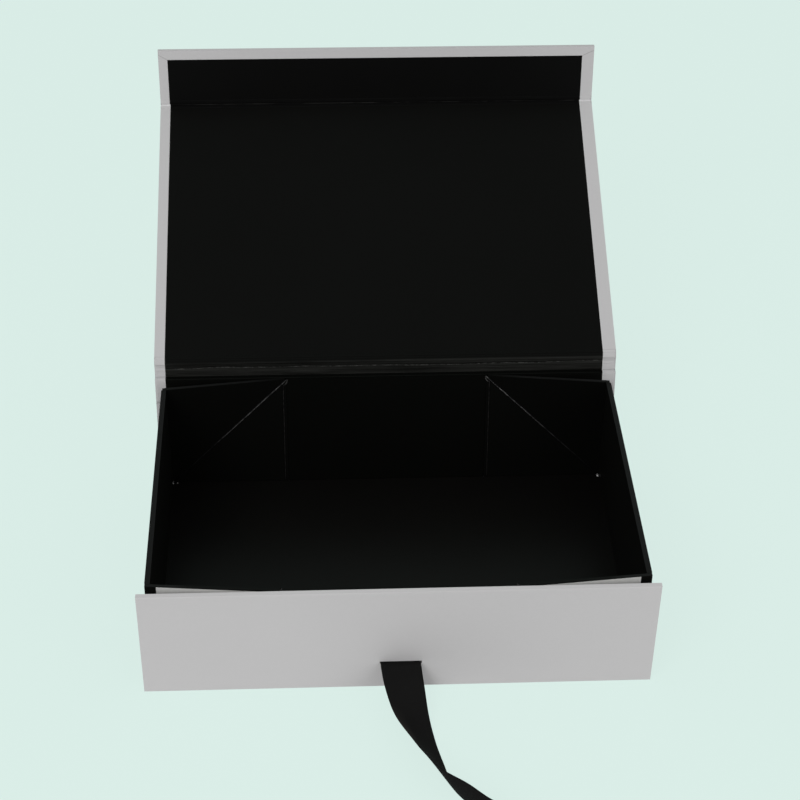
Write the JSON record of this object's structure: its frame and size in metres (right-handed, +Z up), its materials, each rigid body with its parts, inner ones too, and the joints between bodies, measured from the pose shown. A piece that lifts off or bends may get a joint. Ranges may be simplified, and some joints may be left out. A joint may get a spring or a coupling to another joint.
{
  "type": "collapsible gift box",
  "caption": "Rigid folding gift box standing open: paper-covered cover with hinged lid and magnetic flap, dark tray whose walls fold flat, and a closing ribbon",
  "frame": {"origin": "middle of the base's underside, which rests on the table", "axes": "+X to the right seen from the front panel, +Y to the back where the lid is hinged, +Z up"},
  "size_m": [0.24, 0.4537, 0.1751],
  "materials": {
    "wrap": "matte",
    "greyboard": "matte",
    "dark_lining": "matte",
    "inner_sheet": "matte",
    "dark_tray": "matte",
    "tray_board": "matte",
    "release_liner": "satin",
    "ribbon": "satin",
    "magnet": "satin",
    "plate": "matte"
  },
  "bodies": {
    "base": {"base_wrap": "wrap", "base_board": "greyboard", "base_lining": "dark_lining", "ribbon": "ribbon"},
    "back_wall": {"back_wrap": "wrap", "back_board": "greyboard", "back_lining": "inner_sheet", "tray_back_panel": "dark_tray", "back_left_lower_gusset": "dark_tray", "back_right_lower_gusset": "dark_tray"},
    "front_wall": {"front_wrap": "wrap", "front_board": "greyboard", "front_lining": "inner_sheet", "tray_front_panel": "dark_tray", "front_left_lower_gusset": "dark_tray", "front_right_lower_gusset": "dark_tray", "closure_plate_left": "plate", "closure_plate_right": "plate"},
    "left_wall": {"left_wall_board": "tray_board", "left_wall_wrap": "dark_tray"},
    "right_wall": {"right_wall_board": "tray_board", "right_wall_wrap": "dark_tray"},
    "hinge_band": {"hinge_band_lower": "wrap", "hinge_band_upper": "wrap"},
    "lid": {"lid_board": "greyboard", "lid_wrap": "wrap", "lid_lining": "dark_lining"},
    "flap": {"flap_board": "greyboard", "flap_wrap": "wrap", "flap_lining": "dark_lining", "flap_magnet_left": "magnet", "flap_magnet_right": "magnet"},
    "back_left_gusset": {"back_left_upper_gusset": "dark_tray", "back_left_tape_liner": "release_liner"},
    "back_right_gusset": {"back_right_upper_gusset": "dark_tray", "back_right_tape_liner": "release_liner"},
    "front_left_gusset": {"front_left_upper_gusset": "dark_tray", "front_left_tape_liner": "release_liner"},
    "front_right_gusset": {"front_right_upper_gusset": "dark_tray", "front_right_tape_liner": "release_liner"}
  },
  "joints": [
    {"name": "walls_fold", "type": "hinge", "parent": "base", "child": "back_wall", "pos_m": [0, 0.07695, 0.0012], "axis": [-1, 0, 0], "range_deg": [0, 82.5], "deforming": ["ribbon"]},
    {"name": "front_wall_fold", "type": "hinge", "parent": "base", "child": "front_wall", "pos_m": [0, -0.07686, 0.0012], "axis": [1, 0, 0], "range_deg": [0, 87]},
    {"name": "left_wall_fold", "type": "hinge", "parent": "base", "child": "left_wall", "pos_m": [-0.1137, 0, 0.0027], "axis": [0, 1, 0], "range_deg": [0, 90]},
    {"name": "right_wall_fold", "type": "hinge", "parent": "base", "child": "right_wall", "pos_m": [0.1137, 0, 0.0027], "axis": [0, -1, 0], "range_deg": [0, 90]},
    {"name": "back_left_gusset_fold", "type": "hinge", "parent": "back_wall", "child": "back_left_gusset", "pos_m": [-0.1137, 0.07442, 0.00271], "axis": [0.7071, 0.0923, 0.7011], "range_deg": [0, 169.36]},
    {"name": "front_left_gusset_fold", "type": "hinge", "parent": "front_wall", "child": "front_left_gusset", "pos_m": [-0.1137, -0.07424, 0.00271], "axis": [-0.7071, 0.037, -0.7061], "range_deg": [0, 175.76]},
    {"name": "back_right_gusset_fold", "type": "hinge", "parent": "back_wall", "child": "back_right_gusset", "pos_m": [0.1137, 0.07442, 0.00271], "axis": [0.7071, -0.0923, -0.7011], "range_deg": [0, 169.36]},
    {"name": "front_right_gusset_fold", "type": "hinge", "parent": "front_wall", "child": "front_right_gusset", "pos_m": [0.1137, -0.07424, 0.00271], "axis": [-0.7071, -0.037, 0.7061], "range_deg": [0, 175.76]},
    {"name": "hinge_band_fold", "type": "hinge", "parent": "back_wall", "child": "hinge_band", "pos_m": [0, 0.08611, 0.06389], "axis": [1, 0, 0], "range_deg": [0, 55.3]},
    {"name": "lid_hinge", "type": "hinge", "parent": "hinge_band", "child": "lid", "pos_m": [0, 0.08394, 0.06891], "axis": [-1, 0, 0], "range_deg": [-154.5, 0]},
    {"name": "flap_hinge", "type": "hinge", "parent": "lid", "child": "flap", "pos_m": [0, 0.23545, 0.14215], "axis": [-1, 0, 0], "range_deg": [-30.7, 59.3]}
  ],
  "couplings": [
    {"joint": "front_wall_fold", "follows": "walls_fold", "ratio": 1.0545},
    {"joint": "left_wall_fold", "follows": "walls_fold", "ratio": 1.0909},
    {"joint": "right_wall_fold", "follows": "walls_fold", "ratio": 1.0909},
    {"joint": "back_left_gusset_fold", "follows": "walls_fold", "ratio": 2.0529},
    {"joint": "front_left_gusset_fold", "follows": "walls_fold", "ratio": 2.1304},
    {"joint": "back_right_gusset_fold", "follows": "walls_fold", "ratio": 2.0529},
    {"joint": "front_right_gusset_fold", "follows": "walls_fold", "ratio": 2.1304},
    {"joint": "hinge_band_fold", "follows": "walls_fold", "ratio": 0.6703}
  ]
}
